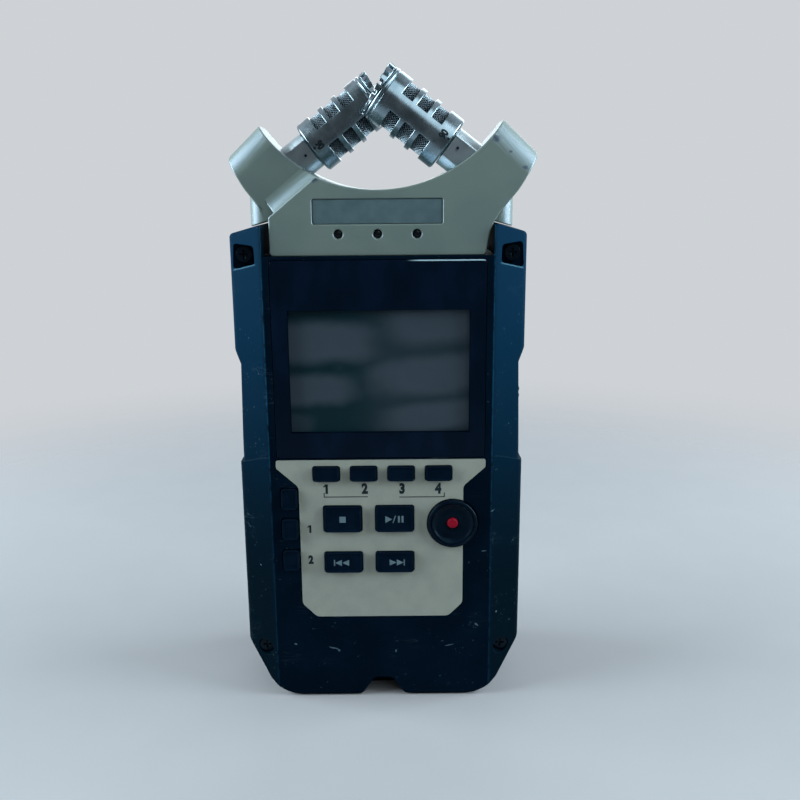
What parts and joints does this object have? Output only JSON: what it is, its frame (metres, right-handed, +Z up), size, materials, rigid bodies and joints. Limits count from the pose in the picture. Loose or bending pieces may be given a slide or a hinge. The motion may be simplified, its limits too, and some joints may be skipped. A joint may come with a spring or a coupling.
{
  "type": "handheld audio recorder",
  "caption": "Handheld digital recorder with crossed turning microphones on a cast mount, display, keypad, side controls, plug sockets below and a battery bay at the back.",
  "frame": {"origin": "centre of the bounding box at the foot", "axes": "+X to the right of the keypad as the reader sees it, +Y from the keypad to the battery cover, +Z up to the microphones"},
  "size_m": [0.0742, 0.037, 0.1572],
  "materials": {
    "case_plastic": "matte, slightly rubbery",
    "mount_paint": "satin paint with a fine grain",
    "name_metal": "fine brushed, bare",
    "window": "clear acrylic printed dark at the back",
    "display": "unlit liquid crystal",
    "pad": "satin paint",
    "key": "soft-touch",
    "record_face": "glossy rim round a matt dish",
    "record_red": "gloss",
    "board": "solder mask",
    "switch": "pressed sheet",
    "lamp": "smoked",
    "mic_metal": "machined, satin",
    "mesh": "woven mesh",
    "capsule": "plain",
    "control": "matt",
    "socket": "matt",
    "steel": "pressed sheet",
    "cell": "printed sleeve",
    "bush": "nickel plated",
    "screw": "black oxide"
  },
  "bodies": {
    "case": {"front_shell": "case_plastic", "rear_shell": "case_plastic", "display_window": "window", "lcd_panel": "display", "keypad_plate": "pad", "main_board": "board", "key_switches": "switch", "mount_front": "mount_paint", "mount_rear": "mount_paint", "name_plate": "name_metal", "peak_lamps": "lamp", "mic_stem_right": "mic_metal", "mic_stem_left": "mic_metal", "card_socket": "steel", "headphone_jack": "socket", "usb_socket": "steel", "dc_socket": "socket", "remote_socket": "socket", "battery_tray": "socket", "aa_cells": "cell", "battery_contacts": "steel", "speaker": "socket", "tripod_bush": "bush", "ext_mic_jack": "socket", "end_panel": "case_plastic", "combo_jack_right": "socket", "combo_jack_left": "socket", "case_screws": "screw"},
    "mic_right": {"mic_barrel_right": "mic_metal", "mic_mesh_right": "mesh", "mic_capsule_right": "capsule", "mic_crown_right": "mic_metal"},
    "mic_left": {"mic_barrel_left": "mic_metal", "mic_mesh_left": "mesh", "mic_capsule_left": "capsule", "mic_crown_left": "mic_metal"},
    "track_key_1": {"track_key_1": "key"},
    "track_key_2": {"track_key_2": "key"},
    "track_key_3": {"track_key_3": "key"},
    "track_key_4": {"track_key_4": "key"},
    "stop_key": {"stop_key": "key"},
    "play_key": {"play_key": "key"},
    "rewind_key": {"rewind_key": "key"},
    "forward_key": {"forward_key": "key"},
    "input_key_top": {"input_key_top": "key"},
    "input_key_middle": {"input_key_middle": "key"},
    "input_key_bottom": {"input_key_bottom": "key"},
    "record": {"record_button": "record_face", "record_dot": "record_red"},
    "level_rocker": {"level_rocker": "control"},
    "volume_rocker": {"volume_rocker": "control"},
    "dial_carriage": {"dial_carriage": "steel"},
    "jog_dial": {"jog_dial": "control"},
    "menu_button": {"menu_button": "control"},
    "power_switch": {"power_switch": "control"},
    "card_door": {"card_door": "case_plastic"},
    "battery_cover": {"battery_cover": "case_plastic"},
    "jack_tab_right": {"jack_tab_right": "steel"},
    "jack_tab_left": {"jack_tab_left": "steel"}
  },
  "joints": [
    {"name": "mic_turn_right", "type": "hinge", "parent": "case", "child": "mic_right", "pos_m": [0.0166, -0.0075, 0.1387], "axis": [-0.7934, 0, 0.6088], "range_deg": [0, 180]},
    {"name": "mic_turn_left", "type": "hinge", "parent": "case", "child": "mic_left", "pos_m": [-0.0166, 0.0075, 0.1387], "axis": [0.7934, 0, 0.6088], "range_deg": [0, 180]},
    {"name": "track_key_1_press", "type": "slide", "parent": "case", "child": "track_key_1", "axis": [0, 1, 0], "range_m": [0, 0.0006], "stiffness_N_per_m": 300},
    {"name": "track_key_2_press", "type": "slide", "parent": "case", "child": "track_key_2", "axis": [0, 1, 0], "range_m": [0, 0.0006], "stiffness_N_per_m": 300},
    {"name": "track_key_3_press", "type": "slide", "parent": "case", "child": "track_key_3", "axis": [0, 1, 0], "range_m": [0, 0.0006], "stiffness_N_per_m": 300},
    {"name": "track_key_4_press", "type": "slide", "parent": "case", "child": "track_key_4", "axis": [0, 1, 0], "range_m": [0, 0.0006], "stiffness_N_per_m": 300},
    {"name": "stop_key_press", "type": "slide", "parent": "case", "child": "stop_key", "axis": [0, 1, 0], "range_m": [0, 0.0006], "stiffness_N_per_m": 300},
    {"name": "play_key_press", "type": "slide", "parent": "case", "child": "play_key", "axis": [0, 1, 0], "range_m": [0, 0.0006], "stiffness_N_per_m": 300},
    {"name": "rewind_key_press", "type": "slide", "parent": "case", "child": "rewind_key", "axis": [0, 1, 0], "range_m": [0, 0.0006], "stiffness_N_per_m": 300},
    {"name": "forward_key_press", "type": "slide", "parent": "case", "child": "forward_key", "axis": [0, 1, 0], "range_m": [0, 0.0006], "stiffness_N_per_m": 300},
    {"name": "input_key_top_press", "type": "slide", "parent": "case", "child": "input_key_top", "axis": [0, 1, 0], "range_m": [0, 0.0006], "stiffness_N_per_m": 300},
    {"name": "input_key_middle_press", "type": "slide", "parent": "case", "child": "input_key_middle", "axis": [0, 1, 0], "range_m": [0, 0.0006], "stiffness_N_per_m": 300},
    {"name": "input_key_bottom_press", "type": "slide", "parent": "case", "child": "input_key_bottom", "axis": [0, 1, 0], "range_m": [0, 0.0006], "stiffness_N_per_m": 300},
    {"name": "record_press", "type": "slide", "parent": "case", "child": "record", "axis": [0, 1, 0], "range_m": [0, 0.0006], "stiffness_N_per_m": 300},
    {"name": "level_tip", "type": "hinge", "parent": "case", "child": "level_rocker", "pos_m": [0.03355, -0.0062, 0.1036], "axis": [0, 1, 0], "range_deg": [-5, 5], "stiffness_Nm_per_rad": 0.05},
    {"name": "volume_tip", "type": "hinge", "parent": "case", "child": "volume_rocker", "pos_m": [-0.03355, -0.0062, 0.1036], "axis": [0, 1, 0], "range_deg": [-5, 5], "stiffness_Nm_per_rad": 0.05},
    {"name": "dial_press", "type": "slide", "parent": "case", "child": "dial_carriage", "axis": [-1, 0, 0], "range_m": [0, 0.0005], "stiffness_N_per_m": 400},
    {"name": "dial_turn", "type": "hinge", "parent": "dial_carriage", "child": "jog_dial", "pos_m": [0.0273, -0.0062, 0.079], "axis": [0, 1, 0], "continuous": true},
    {"name": "menu_press", "type": "slide", "parent": "case", "child": "menu_button", "axis": [-1, 0, 0], "range_m": [0, 0.0005], "stiffness_N_per_m": 300},
    {"name": "power_slide", "type": "slide", "parent": "case", "child": "power_switch", "axis": [0, 0, 1], "range_m": [-0.003, 0.003]},
    {"name": "card_door_open", "type": "hinge", "parent": "case", "child": "card_door", "pos_m": [0.03545, -0.0027, 0.0423], "axis": [0, 0, 1], "range_deg": [0, 110]},
    {"name": "cover_lift", "type": "slide", "parent": "case", "child": "battery_cover", "axis": [0, 1, 0], "range_m": [0, 0.015]},
    {"name": "jack_tab_right_press", "type": "slide", "parent": "case", "child": "jack_tab_right", "axis": [0, 0, 1], "range_m": [0, 0.001], "stiffness_N_per_m": 300},
    {"name": "jack_tab_left_press", "type": "slide", "parent": "case", "child": "jack_tab_left", "axis": [0, 0, 1], "range_m": [0, 0.001], "stiffness_N_per_m": 300}
  ]
}
